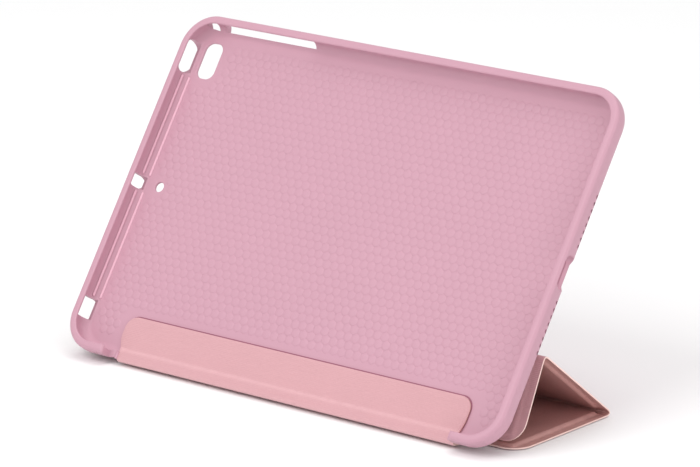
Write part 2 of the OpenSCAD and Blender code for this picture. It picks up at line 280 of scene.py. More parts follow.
def add(tree, kind, inputs=None, **settings):
    """A node of a kind, with its settings and with values or links for its inputs."""
    node = tree.nodes.new(kind)
    for key, value in settings.items():
        setattr(node, key, value)
    for key, value in (inputs or {}).items():
        if isinstance(value, bpy.types.NodeSocket):
            tree.links.new(value, node.inputs[key])
        else:
            node.inputs[key].default_value = value
    return node


def maths(tree, operation, a, b=0.0, clamp=False):
    """A maths node on two values or links; gives its output."""
    node = add(tree, "ShaderNodeMath", {0: a, 1: b}, operation=operation, use_clamp=clamp)
    return node.outputs[0]


def mix_colour(tree, share, a, b):
    """Colour a where share is 0 and b where it is 1; gives the mixed output."""
    node = add(tree, "ShaderNodeMix", {0: share, 6: a, 7: b}, data_type="RGBA",
               clamp_factor=True)
    return node.outputs[2]


# %% Shared group: slow drift of tone
def build_tone_drift():
    """Colour times 1 + amount x (noise - 0.5), with large soft patches."""
    group, given, result = node_group(
        "tone_drift",
        [("Vector", "Vector", None), ("Color", "Color", None), ("Scale", "Float", 30.0),
         ("Amount", "Float", 0.1)],
        [("Color", "Color")])
    vector, colour, scale, amount = (given.outputs[i] for i in range(4))
    noise = add(group, "ShaderNodeTexNoise", {"Vector": vector, "Scale": scale, "Detail": 2.0})
    centred = maths(group, "SUBTRACT", noise.outputs["Fac"], 0.5)
    gain = maths(group, "ADD", maths(group, "MULTIPLY", centred, amount), 1.0)
    scaled = add(group, "ShaderNodeVectorMath", {0: colour, 1: gain}, operation="MULTIPLY")
    group.links.new(scaled.outputs[0], result.inputs["Color"])
    return group


tone_drift = build_tone_drift()


# %% Shared group: fine grain
def build_fine_grain():
    """Height of fine grain: soft noise plus the raised middles of small cells."""
    group, given, result = node_group(
        "fine_grain",
        [("Vector", "Vector", None), ("Scale", "Float", 2000.0), ("Pebble", "Float", 0.5)],
        [("Height", "Float")])
    vector, scale, pebble = (given.outputs[i] for i in range(3))
    noise = add(group, "ShaderNodeTexNoise", {"Vector": vector, "Scale": scale, "Detail": 3.0})
    cells = add(group, "ShaderNodeTexVoronoi", {"Vector": vector, "Scale": scale},
                feature="SMOOTH_F1")
    raised = maths(group, "SUBTRACT", 1.0, cells.outputs["Distance"])
    pebbled = maths(group, "MULTIPLY", raised, pebble)
    total = maths(group, "ADD", noise.outputs["Fac"], pebbled)
    group.links.new(total, result.inputs["Height"])
    return group


fine_grain = build_fine_grain()


# %% Shared group: painted edge highlight
def build_painted_highlight():
    """Painted highlight: colour lightened towards a paler one where the mark and a patchy noise agree."""
    group, given, result = node_group(
        "highlight_tint",
        [("Vector", "Vector", None), ("Color", "Color", None), ("Highlight Colour", "Color", None),
         ("Highlight Amount", "Float", 0.0), ("Strength", "Float", 0.5)],
        [("Color", "Color"), ("Mask", "Float")])
    vector, colour, highlight_tint, highlight_paint, strength = (given.outputs[i] for i in range(5))
    noise = add(group, "ShaderNodeTexNoise", {"Vector": vector, "Scale": 260.0, "Detail": 4.0})
    patchy = maths(group, "MULTIPLY", noise.outputs["Fac"], maths(group, "MULTIPLY", highlight_paint, 1.6))
    mask = maths(group, "MULTIPLY", patchy, strength, clamp=True)
    group.links.new(mix_colour(group, mask, colour, highlight_tint), result.inputs["Color"])
    group.links.new(mask, result.inputs["Mask"])
    return group


edge_highlight_group = build_painted_highlight()


# %% Material starter
def new_finish(name, roughness, **sockets):
    """A material with one Principled shader; gives it, its tree and the shader."""
    finish = bpy.data.materials.new(name)
    finish.use_nodes = True
    tree = finish.node_tree
    shader = tree.nodes["Principled BSDF"]
    shader.inputs["Roughness"].default_value = roughness
    for key, value in sockets.items():
        shader.inputs[key.replace("_", " ").capitalize()].default_value = value
    return finish, tree, shader


def group_node(tree, group, inputs):
    """A placed copy of a shared group with its own values."""
    return add(tree, "ShaderNodeGroup", inputs, node_tree=group)


def bump(tree, shader, height, depth, strength=1.0):
    """Sends a height through a bump node into the shader."""
    node = add(tree, "ShaderNodeBump", {"Height": height, "Distance": depth, "Strength": strength})
    tree.links.new(node.outputs["Normal"], shader.inputs["Normal"])


# %% [markdown]
# ### Soft moulded shell
#
# The tray is a flexible plastic with a satin bloom, which a touch of sheen gives it. Its grain
# is only a tenth of a millimetre, enough to break the highlights on the rim.


# %% Soft shell finish
def soft_shell_finish(name, pink):
    """Drifting pink, and a grain that feeds both the roughness and the bump."""
    finish, tree, shader = new_finish(name, 0.46)
    place = add(tree, "ShaderNodeTexCoord").outputs["Object"]
    tone = group_node(tree, tone_drift, {"Vector": place, "Color": pink, "Scale": 24.0,
                                         "Amount": 0.05})
    grain = group_node(tree, fine_grain, {"Vector": place, "Scale": 2600.0, "Pebble": 0.4})
    tree.links.new(tone.outputs["Color"], shader.inputs["Base Color"])
    shader.inputs["Sheen Weight"].default_value = 0.05
    rough = maths(tree, "ADD", maths(tree, "MULTIPLY", grain.outputs["Height"], 0.08), 0.42)
    tree.links.new(rough, shader.inputs["Roughness"])
    bump(tree, shader, grain.outputs["Height"], 0.00004, 0.5)
    return finish


shell = soft_shell_finish("soft_shell", srgb(194, 147, 163))
# A lighter copy of the shell for the grip beads: a painted highlight along them.
shell_bead_highlight = soft_shell_finish("soft_shell_painted_highlight", srgb(226, 178, 194))


# %% [markdown]
# ### Leather cloth
#
# The outside of the cover is a coated cloth with a pressed leather grain. Its colour is painted paler, a painted
# highlight, along the flat border, on the board's step and along the folds. Each piece carries a number per point
# for that painted highlight, worked out with its shape.


# %% Leather finish
def leather_finish():
    """Drifting tone, painted paler as a highlight where the mark is high, with a pebbled grain."""
    finish, tree, shader = new_finish("leather_skin", 0.5)
    coords = add(tree, "ShaderNodeUVMap", uv_map="cover").outputs["UV"]
    tone = group_node(tree, tone_drift, {"Vector": coords, "Color": srgb(190, 140, 136),
                                         "Scale": 45.0, "Amount": 0.14})
    highlight_paint = add(tree, "ShaderNodeAttribute", attribute_name="highlight_paint").outputs["Fac"]
    highlighted = group_node(tree, edge_highlight_group, {
        "Vector": coords, "Color": tone.outputs["Color"], "Highlight Colour": srgb(222, 174, 168),
        "Highlight Amount": highlight_paint, "Strength": 0.9})
    tree.links.new(highlighted.outputs["Color"], shader.inputs["Base Color"])
    grain = group_node(tree, fine_grain, {"Vector": coords, "Scale": 1500.0, "Pebble": 1.2})
    rough = maths(tree, "ADD", maths(tree, "MULTIPLY", grain.outputs["Height"], 0.12), 0.32)
    tree.links.new(rough, shader.inputs["Roughness"])
    bump(tree, shader, grain.outputs["Height"], 0.00012, 0.6)
    return finish


leather = leather_finish()


# %% [markdown]
# ### Microfibre lining
#
# The lining is a brushed cloth that cleans the screen. Close up it has a fine cross-grain:
# threads one way and the other at about half a millimetre. Two bands of waves on the cloth's own
# UV map make the threads, and a soft sheen catches light at its edge.


# %% Lining finish
def thread_bands(tree, coords, per_metre, direction):
    """Height of parallel threads: a wave texture along one way of the cloth."""
    turned = add(tree, "ShaderNodeMapping", {"Vector": coords, "Scale": (per_metre,) * 3})
    wave = add(tree, "ShaderNodeTexWave", {
        "Vector": turned.outputs[0], "Scale": 1.0, "Distortion": 1.6, "Detail": 2.0,
        "Detail Scale": 0.9}, wave_type="BANDS", bands_direction=direction, wave_profile="SIN")
    return wave.outputs["Fac"]


def lining_finish():
    """Two crossed thread bands with fuzz between them, for both colour and bump."""
    finish, tree, shader = new_finish("microfibre_lining", 0.82)
    coords = add(tree, "ShaderNodeUVMap", uv_map="cover").outputs["UV"]
    across = thread_bands(tree, coords, 560.0, "X")
    along = thread_bands(tree, coords, 470.0, "Y")
    woven = maths(tree, "MULTIPLY", maths(tree, "ADD", across, along), 0.5)
    tone = group_node(tree, tone_drift, {"Vector": coords, "Color": srgb(201, 149, 155),
                                         "Scale": 60.0, "Amount": 0.07})
    fuzz = add(tree, "ShaderNodeTexNoise", {"Vector": coords, "Scale": 900.0, "Detail": 4.0})
    share = maths(tree, "MULTIPLY", maths(tree, "MULTIPLY", woven, fuzz.outputs["Fac"]), 0.55)
    colour = mix_colour(tree, share, tone.outputs["Color"], srgb(214, 170, 175))
    # Painted highlight: the lining is lightened towards a paler pink where the mark is high.
    highlight_paint = add(tree, "ShaderNodeAttribute", attribute_name="highlight_paint").outputs["Fac"]
    highlighted = group_node(tree, edge_highlight_group, {"Vector": coords, "Color": colour,
                                           "Highlight Colour": srgb(228, 182, 186), "Highlight Amount": highlight_paint,
                                           "Strength": 0.5})
    tree.links.new(highlighted.outputs["Color"], shader.inputs["Base Color"])
    shader.inputs["Sheen Weight"].default_value = 0.25
    shader.inputs["Sheen Roughness"].default_value = 0.6
    height = maths(tree, "ADD", woven, maths(tree, "MULTIPLY", fuzz.outputs["Fac"], 0.8))
    bump(tree, shader, height, 0.00012, 0.55)
    return finish


lining = lining_finish()


# %% Cut edge, board, magnet and glue finishes; the glue also paints a shadow line
def plain_finish(name, colour, roughness, scale, metallic=0.0, depth=0.00005):
    """A quiet finish for raw edges and hidden pieces: drift of tone and a fine grain."""
    finish, tree, shader = new_finish(name, roughness)
    place = add(tree, "ShaderNodeTexCoord").outputs["Object"]
    tone = group_node(tree, tone_drift, {"Vector": place, "Color": colour, "Scale": scale,
                                         "Amount": 0.16})
    grain = group_node(tree, fine_grain, {"Vector": place, "Scale": scale * 12, "Pebble": 0.3})
    tree.links.new(tone.outputs["Color"], shader.inputs["Base Color"])
    shader.inputs["Metallic"].default_value = metallic
    bump(tree, shader, grain.outputs["Height"], depth, 0.5)
    return finish


cut_edge = plain_finish("cut_edge", srgb(243, 212, 204), 0.85, 180.0)
board_stock = plain_finish("stiffener_board", srgb(156, 148, 140), 0.9, 120.0)
nickel = plain_finish("magnet_nickel", srgb(178, 181, 186), 0.3, 90.0, metallic=1.0)
# The glue film is dark: where it shows past the tab's edge it is a painted shadow line.
glue_shadow_finish = plain_finish("glue_film", srgb(150, 90, 110), 0.5, 60.0)

CARRIED = {"ground_board": board_stock, "rear_board": board_stock, "front_board": board_stock,
           "ground_magnets": nickel, "rear_magnets": nickel, "front_magnets": nickel}
for node, finish in CARRIED.items():
    carried = frame["nodes"][node]
    carried.data.materials.clear()
    carried.data.materials.append(finish)
print("carried over", sorted(CARRIED))

# %% [markdown]
# ## The tray
#
# A moulded tray is one wall section carried round a rounded rectangle, with a floor across it.
# The section starts on the floor, climbs a wide fillet, turns in under the lip, rounds over the
# rim and comes down the outside to the back.

# %% Wall section
CORNER_R = 13.8 * MM
FLOOR_T = TRAY_T + FLOOR_N
WALL_T = 2.4 * MM
RIM_W = 3.3 * MM
LIP_T = 1.1 * MM
FILLET_R = 3.7 * MM
BACK_R = 4.4 * MM
FOOT_IN = WALL_T + FILLET_R
LIP_EDGE_R = 0.55 * MM
RIM_OUT_R = 1.6 * MM


def arc(cx, cy, r, start, end, step=8.0):
    """Points of an arc between two angles in degrees, about one per step."""
    count = max(2, int(abs(end - start) / step) + 1)
    a = np.radians(np.linspace(start, end, count))
    return np.stack([cx + r * np.cos(a), cy + r * np.sin(a)], -1)


def line(a, b, step):
    """Points from a to b, both ends left out."""
    a, b = np.array(a), np.array(b)
    count = max(1, int(np.linalg.norm(b - a) / step))
    return a + (b - a) * (np.arange(1, count) / count)[:, None]


def wall_section():
    """The wall's section as pairs: distance in from the outside, and height to the lip."""
    fillet_y = FLOOR_N + FILLET_R
    lip_y = -LIP_T
    return np.concatenate([
        arc(FOOT_IN, fillet_y, FILLET_R, 270, 180, 4.5),
        line((WALL_T, fillet_y), (WALL_T, lip_y - 0.3 * MM), 0.25 * MM),
        arc(WALL_T + 0.3 * MM, lip_y - 0.3 * MM, 0.3 * MM, 180, 90, 30),
        arc(RIM_W - LIP_EDGE_R, lip_y + LIP_EDGE_R, LIP_EDGE_R, -90, 90, 15),
        line((RIM_W - LIP_EDGE_R, 0), (RIM_OUT_R, 0), 0.3 * MM),
        arc(RIM_OUT_R, -RIM_OUT_R, RIM_OUT_R, 90, 180, 9),
        line((0, -RIM_OUT_R), (0, -TRAY_T + BACK_R), 0.9 * MM),
        arc(BACK_R, -TRAY_T + BACK_R, BACK_R, 180, 270, 9),
        [[FOOT_IN, -TRAY_T]]])


section = wall_section()
print("section points", len(section))


# %% Outline of the tray
def tray_outline(step):
    """Places round the outside of the tray and the inward direction at each, as two arrays."""
    half = np.array([TRAY_HALF, TRAY_W / 2])
    centres = (half - CORNER_R) * np.array([[1, 1], [-1, 1], [-1, -1], [1, -1]])
    places, inward = [], []
    for k in range(4):
        a = np.radians(np.linspace(90 * k, 90 * k + 90, 19))
        ray = np.stack([np.cos(a), np.sin(a)], -1)
        places.append(centres[k] + CORNER_R * ray)
        inward.append(-ray)
        start, end = places[-1][-1], centres[(k + 1) % 4] + CORNER_R * ray[-1]
        straight = line(start, end, step)
        places.append(straight)
        inward.append(np.repeat(-ray[-1:], len(straight), 0))
    return np.concatenate(places), np.concatenate(inward)


def tray_wall_points():
    """The section carried round the outline: place + inward x distance, at its height."""
    places, inward = tray_outline(2.6 * MM)
    flat = places[:, None, :] + inward[:, None, :] * section[None, :, :1]
    return tray_place(flat[..., 0], flat[..., 1] + TRAY_W / 2, section[None, :, 1])


def tray_solid():
    """The swept wall with the floor's upper and lower faces as two many-sided caps."""
    grid = tray_wall_points()
    rows, cols = grid.shape[:2]
    quads = quad_grid(rows, cols, wrap_rows=True).tolist()
    floor = (np.arange(rows) * cols).tolist()
    back = (np.arange(rows) * cols + cols - 1).tolist()
    return grid, quads + [floor, back[::-1]]


# %% [markdown]
# ### Cut-outs
#
# The openings are cut with solids that flare like a trumpet where they meet the wall's faces,
# so each hole comes out with rounded lips, as a mould leaves it. One Boolean takes all the
# cutters away at once.


# %% Cutters
def flared_cutter(place, length, height, corner, span, flare):
    """A rounded-rectangle prism between two faces of a wall, wider by a flare at each face.
    place turns outline x, outline y and depth into points. A lip turns through a quarter
    circle: it goes in by flare x (1 - cos) while its width falls by flare x sin."""
    low, high = span
    turn = np.linspace(0, np.pi / 2, 5)
    sink, narrow = 1 - np.cos(turn), 1 - np.sin(turn)
    depths = np.concatenate([[low - 1.5 * MM], low + flare[0] * sink,
                             (high - flare[1] * sink)[::-1], [high + 1.5 * MM]])
    grow = np.concatenate([flare[:1], flare[0] * narrow, (flare[1] * narrow)[::-1], flare[1:]])
    a = np.radians(np.arange(0, 360, 7.5) + 3.75)
    centre_x = np.sign(np.cos(a)) * (length / 2 - corner)
    centre_y = np.sign(np.sin(a)) * (height / 2 - corner)
    radius = corner + grow[:, None]
    points = place(centre_x + radius * np.cos(a), centre_y + radius * np.sin(a),
                   depths[:, None] + 0 * radius * np.cos(a))
    rows, cols = points.shape[:2]
    faces = quad_grid(rows, cols, wrap_cols=True).tolist()
    return points, faces + [list(range(cols)), list(range((rows - 1) * cols, rows * cols))[::-1]]


def through_floor(u, v):
    """Cutter axes for a hole in the floor."""
    return lambda x, y, w: tray_place(u + x, v + y, w)


def through_end(side, v, n):
    """Cutter axes for a hole in the left (-1) or right (1) wall; depth counts inwards."""
    return lambda x, y, w: tray_place(side * (TRAY_HALF - w), v + x, n + y)


def through_top(u, n):
    """Cutter axes for a hole in the upper wall; depth counts inwards."""
    return lambda x, y, w: tray_place(u + x, TRAY_W - w, n + y)


SOCKET_H = 6.8
SOCKET_N = -LIP_T - 0.2 * MM - SOCKET_H * MM / 2
MID_V = TRAY_W / 2
POCKET = (0.0, 3.4 * MM)
THROUGH = (0.0, 2.6 * MM)
CAMERA_AT = (-92.6 * MM, 123.6 * MM)
MICROPHONE_AT = (-92.4 * MM, MID_V)
SPEAKER_N = -5.6 * MM
SPEAKER_START = 11
SPEAKER_PITCH = 2.8


def cut_outs():
    """Every opening of the tray as (place, length, height, corner, span, flare): all in
    millimetres except the span."""
    floor_span = (-TRAY_T, FLOOR_N)
    left, right, top = (lambda v: through_end(-1, v * MM, SOCKET_N),
                        lambda v: through_end(1, v * MM, SOCKET_N),
                        lambda u: through_top(u * MM, SOCKET_N - 0.8 * MM))
    cuts = [
        (through_floor(*CAMERA_AT), 8.4, 15.0, 3.4, floor_span, (0.4, 0.4)),
        (through_floor(*MICROPHONE_AT), 4.0, 4.0, 1.99, floor_span, (0.3, 0.3)),
        (left(123.2), 13.4, SOCKET_H, 2.9, POCKET, (0.5, 0.0)),
        (left(70.0), 5.2, SOCKET_H, 1.5, POCKET, (0.35, 0.0)),
        (left(16.8), 8.2, SOCKET_H, 0.8, POCKET, (0.35, 0.0)),
        (right(70.1), 13.0, SOCKET_H, 2.6, POCKET, (0.5, 0.0)),
        (top(-94.8), 4.6, SOCKET_H + 1.6, 2.0, THROUGH, (0.3, 0.0)),
        (top(-66.6), 44.4, SOCKET_H + 1.6, 1.2, THROUGH, (0.3, 0.0))]
    speaker = np.arange(8) * SPEAKER_PITCH + SPEAKER_START
    for offset in np.concatenate([-speaker, speaker]):
        cuts.append((through_end(1, MID_V + offset * MM, SPEAKER_N), 1.5, 1.5, 0.74,
                     (0.4 * MM, WALL_T + 0.6 * MM), (0.2, 0.0)))
    return cuts


# %% Gap for the spine
GAP_LEFT = 82.5 * MM
GAP_RIGHT = 83.5 * MM
SILL_N = -6.3 * MM
SILL_IN = 2.7 * MM
RIM_END_R = 1.3 * MM
NOTCH_R = 1.8 * MM
NOTCH_N = -4.6 * MM
POST_R = 0.45 * MM
POST_IN = 2.0 * MM
POST_TOPS = (-4.7 * MM, -5.6 * MM)


def gap_profile(half, post_n):
    """Left half of the gap's outline in the lower wall, from the rim down: the rim's end is
    rounded, a U-shaped notch drops beside it, and a low post stands at the edge of the sill."""
    end_round = arc(-half - RIM_END_R, -RIM_END_R, RIM_END_R, 90, 0, 12)
    notch = arc(-half + NOTCH_R, NOTCH_N, NOTCH_R, 180, 310, 13)
    post = arc(-half + NOTCH_R + POST_IN, post_n - POST_R, POST_R, 120, 0, 20)
    foot = [[-half + NOTCH_R + SILL_IN, SILL_N]]
    top = [[-half - RIM_END_R, 1.5 * MM]]
    return np.concatenate([top, end_round, notch, post, foot])


def gap_cutter():
    """The outline's two halves, carried through the wall in the v direction."""
    left, right = (gap_profile(GAP_LEFT, POST_TOPS[0]), gap_profile(GAP_RIGHT, POST_TOPS[1]))
    ring = np.concatenate([left, right[::-1] * [-1, 1]])
    depth = np.array([-1.5 * MM, 8 * MM])
    points = tray_place(ring[None, :, 0], depth[:, None], ring[None, :, 1])
    cols = len(ring)
    faces = quad_grid(2, cols, wrap_cols=True).tolist()
    return points, faces + [list(range(cols)), list(range(cols, 2 * cols))[::-1]]


# %% Cutting the tray
def join_solids(solids):
    """Several (points, faces) solids as one, with the corner numbers moved along."""
    points, faces, count = [], [], 0
    for grid, corners in solids:
        flat = grid.reshape(-1, 3)
        points.append(flat)
        faces += [[c + count for c in f] for f in corners]
        count += len(flat)
    return np.concatenate(points), faces


def cut(target, cutter):
    """Takes one closed mesh away from another and keeps the result as the target's mesh.
    use_self makes cutters that overlap count as one solid."""
    step = target.modifiers.new("cut", "BOOLEAN")
    step.operation = "DIFFERENCE"
    step.solver = "EXACT"
    step.use_self = True
    step.object = cutter
    bpy.context.view_layer.update()
    graph = bpy.context.evaluated_depsgraph_get()
    result = bpy.data.meshes.new_from_object(target.evaluated_get(graph))
    target.modifiers.clear()
    target.data = result
    bpy.data.objects.remove(cutter)


tray = piece("tray_shell", *tray_solid(), "soft_shell", [shell])
solids = [flared_cutter(p, a * MM, b * MM, r * MM, span, np.array(e) * MM)
          for p, a, b, r, span, e in cut_outs()]
cutter = piece("cutters", *join_solids(solids + [gap_cutter()]), "soft_shell", [shell])
cut(tray, cutter)
tray.data.shade_smooth()
tray.data.set_sharp_from_angle(angle=np.radians(38))
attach(tray, "tray")
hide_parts("tray")
print("tray after cutting", len(tray.data.polygons), "faces")

# %% [markdown]
# ### Grip beads
#
# Two thin beads run inside the left wall, one on the fillet and one at its foot, and stop short
# of the openings. A bead is a circle carried along a line; its radius falls to nothing at both
# ends like the end of a rounded rod: r x sqrt(1 - t^2) over the last radius.

# %% Beads
BEAD_R = 0.5 * MM
BEAD_LINES = [(3.15, -5.25), (5.3, -7.1)]
BEAD_RUNS = [(21.8, 66.6), (73.4, 115.6)]


def build_beads():
    """Every bead as rings of points along v, closed at the ends."""
    a = np.radians(np.arange(0, 360, 30))
    solids = []
    for x, n in BEAD_LINES:
        for low, high in BEAD_RUNS:
            v = stations(low * MM, high * MM, 3 * MM, (low * MM, high * MM), 0.12 * MM, 0.6 * MM)
            t = np.clip(1 - np.minimum(v - v[0], v[-1] - v) / BEAD_R, 0, 0.98)
            r = (BEAD_R * np.sqrt(1 - t * t))[:, None]
            points = tray_place(x * MM - TRAY_HALF + r * np.cos(a), v[:, None],
                                n * MM + r * np.sin(a))
            faces = quad_grid(len(v), len(a), wrap_cols=True).tolist()
            ends = [list(range(len(a)))[::-1], list(range((len(v) - 1) * len(a), len(v) * len(a)))]
            solids.append((points, faces + ends))
    # The beads take the lighter shell copy: a painted highlight.
    piece("tray_beads", *join_solids(solids), "soft_shell", [shell_bead_highlight], "tray", angle=60)


build_beads()

# %% [markdown]
# ### Honeycomb floor
#
# The floor is pressed with a honeycomb of low pads that let air out as the tablet goes in. Each
# pad is a six-sided mesa with softened shoulders. One pad is a small array of rings, and numpy
# adds it to every centre of a hexagonal lattice that lies inside the field.

# %% Honeycomb
HEX_PITCH = 3.6 * MM
PAD_BORDER = 8 * MM
FIELD_R = 6 * MM
TAB_FIELD = (-85.5 * MM, 88.5 * MM, 21 * MM)
CAMERA_FIELD_R = 7.4 * MM
MICROPHONE_FIELD_R = 4.6 * MM
PAD_RINGS = [(1.95, -0.1), (1.95, 0.02), (1.82, 0.08), (1.45, 0.12), (0.80, 0.135)]


def hex_centres():
    """Centres of a hexagonal lattice inside the field: rows a pitch x 0.866 apart, every other
    row shifted by half a pitch, kept where they clear the border, the tab and the openings."""
    row_step = HEX_PITCH * np.sqrt(3) / 2
    j, i = np.mgrid[-30:31, -40:41]
    u = (i + 0.5 * (j % 2)) * HEX_PITCH
    v = MID_V + j * row_step
    du = np.maximum(np.abs(u) - (TRAY_HALF - PAD_BORDER) + FIELD_R, 0)
    dv = np.maximum(np.abs(v - MID_V) - (MID_V - PAD_BORDER) + FIELD_R, 0)
    inside = np.hypot(du, dv) <= FIELD_R
    clear_tab = (u < TAB_FIELD[0]) | (u > TAB_FIELD[1]) | (v > TAB_FIELD[2])
    camera = np.hypot(np.maximum(np.abs(u - CAMERA_AT[0]) - 1 * MM, 0),
                      np.maximum(np.abs(v - CAMERA_AT[1]) - 4 * MM, 0))
    microphone = np.hypot(u - MICROPHONE_AT[0], v - MICROPHONE_AT[1])
    keep = (inside & clear_tab & (camera > CAMERA_FIELD_R) & (microphone > MICROPHONE_FIELD_R))
    return u[keep], v[keep]


def honeycomb():
    """All pads as one mesh: rings of six points about each centre, joined by quads and capped."""
    u, v = hex_centres()
    a = np.radians(np.arange(6) * 60 + 30)
    rings = np.array(PAD_RINGS) * MM
    x = u[:, None, None] + rings[None, :, :1] * np.cos(a)
    y = v[:, None, None] + rings[None, :, :1] * np.sin(a)
    n = FLOOR_N + rings[None, :, 1:] + 0 * x
    points = tray_place(x, y, n).reshape(-1, 3)
    per_pad = 6 * len(rings)
    one = quad_grid(len(rings), 6, wrap_cols=True)
    quads = (one[None] + (np.arange(len(u)) * per_pad)[:, None, None]).reshape(-1, 4).tolist()
    base = np.arange(len(u))[:, None] * per_pad
    top = (base + per_pad - 6 + np.arange(6)).tolist()
    low = (base + np.arange(6)[::-1]).tolist()
    print("honeycomb pads", len(u))
    return points, quads + top + low


piece("tray_honeycomb", *honeycomb(), "soft_shell", [shell], "tray", angle=60)

# %% [markdown]
# ## The cover's panels
#
# Each panel is a board between leather and lining. The two cloths lie together in a flat border
# and part over the board, so its outline shows as a soft step. The formula is one smooth step
# per side of the board, multiplied together. Where a panel ends free, its two corners are round:
# there the grid's half length shrinks by the rise of a circle.

# %% Panel surface
END_BORDER = 5 * MM
END_STEP = 2.4 * MM
FOLD_GAP = 1.8 * MM
FOLD_STEP = 1.0 * MM
FREE_BORDER = 3 * MM
FREE_STEP = 1.5 * MM
COVER_R = 8 * MM
LEATHER_TOP = LEATHER_FACE - 0.02 * MM
LEATHER_BORDER = -0.62 * MM
MIDDLE = -0.93 * MM
LINING_BORDER = -1.16 * MM
LINING_TOP = -LINING_FACE + 0.02 * MM
SKIN_OVER_BOARD = 0.42 * MM
COVER_COLUMNS = stations(-1.0, 1.0, 0.05, (-1, 1), 0.0025, 0.075)


def board_rise(x, s, first, last, free_low, free_high):
    """1 over the board and 0 in the border, with a smooth step along each side."""
    low = first + (FREE_BORDER if free_low else FOLD_STEP)
    high = last - (FREE_BORDER if free_high else FOLD_STEP)
    low_step = FREE_STEP if free_low else FOLD_STEP
    high_step = FREE_STEP if free_high else FOLD_STEP
    ends = smooth((COVER_HALF - END_BORDER + END_STEP - np.abs(x)) / END_STEP)
    sides = smooth((s - low + low_step) / low_step) * smooth((high + high_step - s) / high_step)
    return ends * sides


def ripple(x, s, phase):
    """A slight unevenness of hand-pressed laminate: three slow sine waves."""
    return (np.sin(x * 61 + phase) * np.sin(s * 103 + 2 * phase)
            + 0.6 * np.sin(x * 137 + s * 59 + phase)) * 0.025 * MM


def panel_grid(first, last, free_low, free_high):
    """x and s of a panel's grid. Half length at s is the full one less r - sqrt(r^2 - d^2),
    where d is how far s has gone into a round corner."""
    s = stations(first, last, 2.5 * MM, (first, last), 0.25 * MM, 3.2 * MM)
    if free_low or free_high:
        a = np.linspace(0, np.pi / 2, 13)
        rounds = COVER_R * (1 - np.sin(a))
        extra = [first + rounds] if free_low else []
        extra += [last - rounds] if free_high else []
        s = np.unique(np.round(np.concatenate([s, *extra]), 7))
    into_low = np.clip(first + COVER_R - s, 0, COVER_R) * free_low
    into_high = np.clip(s - last + COVER_R, 0, COVER_R) * free_high
    into = np.maximum(into_low, into_high)
    half = COVER_HALF - (COVER_R - np.sqrt(COVER_R**2 - into**2))
    return COVER_COLUMNS * half[:, None], s[:, None] + 0 * COVER_COLUMNS


def build_panel(name, body, start, angle, first, last, ends, path_start, phase):
    """Leather and lining of a panel as two closed sheets that meet in the border."""
    free_low, free_high = ends
    x, s = panel_grid(first, last, free_low, free_high)
    rise = board_rise(x, s, first, last, free_low, free_high)
    wave = ripple(x, s, phase) * rise
    top = LEATHER_BORDER + (LEATHER_TOP - LEATHER_BORDER) * rise + np.minimum(wave, 0)
    under = MIDDLE + (LEATHER_TOP - SKIN_OVER_BOARD - MIDDLE) * rise
    inner = MIDDLE - 0.08 * MM * rise
    face = LINING_BORDER + (LINING_TOP - LINING_BORDER) * rise + np.maximum(wave, 0)
    uv = np.stack([x, path_start + s], -1)
    # Painted highlight: the mark is high on the flat border and on the board's step, nothing over the board.
    highlight_paint = 0.5 * (1 - rise) + 1.2 * rise * (1 - rise)
    sheet = lambda h: side_place(start, angle, x, s, h)
    skin = closed_sheet(f"{name}_leather", sheet(top), sheet(under), uv, "leather_skin",
                        [leather, cut_edge], body, highlight_paint)
    cloth = closed_sheet(f"{name}_microfibre", sheet(inner), sheet(face), uv,
                         "microfibre_lining", [lining, cut_edge], body, highlight_paint * 0.6)
    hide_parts(f"{name}_skin")
    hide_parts(f"{name}_lining")


# %% Three panels
PANELS = [
    ("ground", "ground_panel", fold["spine_fold"], GROUND_DIR, GROUND_W - FOLD_GAP,
     (True, False), 0.0, 0.4),
    ("rear", "rear_panel", fold["tip_fold"], REAR_DIR, REAR_W - FOLD_GAP,
     (False, False), GROUND_W, 1.7),
    ("front", "front_panel", fold["ridge_fold"], FRONT_DIR, FRONT_W,
     (False, True), GROUND_W + REAR_W, 2.9)]
for name, body, start, angle, last, ends, path_start, phase in PANELS:
    build_panel(name, body, start, angle, FOLD_GAP, last, ends, path_start, phase)

# %% [markdown]
# ## Tab, bend and spine strip
#
# The cover is glued into the tray by a tab on its floor. The laminate lies flat, climbs a low
# sill where the wall has been left out, turns round the tray's lower edge and runs back under it
# to the panels. The middle of the sheet is a curve in the tray's side view, and the two cloths
# are that curve moved to each side.

# %% Tab
TAB_LEFT = -81.0 * MM
TAB_RIGHT = 84.4 * MM
STRIP_LEFT = -77.2 * MM
STRIP_RIGHT = 83.0 * MM
GAP_EDGES = (-78.4 * MM, 83.2 * MM)
TAB_TOP = 18 * MM
TAB_FOOT = 1.9 * MM
TAB_R = 5 * MM
SHEET_HALF = 0.5 * MM
GLUE_T = 0.2 * MM
SHADOW_LINE_SIDE = 0.1 * MM
SHADOW_LINE_UP = 0.65 * MM
GLUE_FOOT = 5.6 * MM
SILL_RISE = 0.8 * MM
SILL_FOOT = 5.4 * MM
SILL_RUN = 2.2 * MM
SILL_CREASE = 4.4 * MM


def tab_middle(v):
    """Height of the laminate's middle: on the floor, then up a smooth step onto the sill."""
    flat = FLOOR_N + GLUE_T + SHEET_HALF
    return flat + SILL_RISE * smooth((SILL_FOOT - v) / SILL_RUN)


def tab_sides(v):
    """Left and right ends of the tab: upper corners are arcs, and the foot is a bit narrower."""
    into = np.clip(v - TAB_TOP + TAB_R, 0, TAB_R)
    cut_in = TAB_R - np.sqrt(TAB_R**2 - into**2)
    wide = smooth((v - 2 * MM) / (8 * MM))
    left = GAP_EDGES[0] + (TAB_LEFT - GAP_EDGES[0]) * wide
    right = GAP_EDGES[1] + (TAB_RIGHT - GAP_EDGES[1]) * wide
    return left + cut_in, right - cut_in


def across(left, right):
    """Columns of the tab and strips, from the left end to the right at each row."""
    t = stations(0.0, 1.0, 0.02, (0, 1), 0.0015, 0.02)
    return left[:, None] + (right - left)[:, None] * t[None, :]


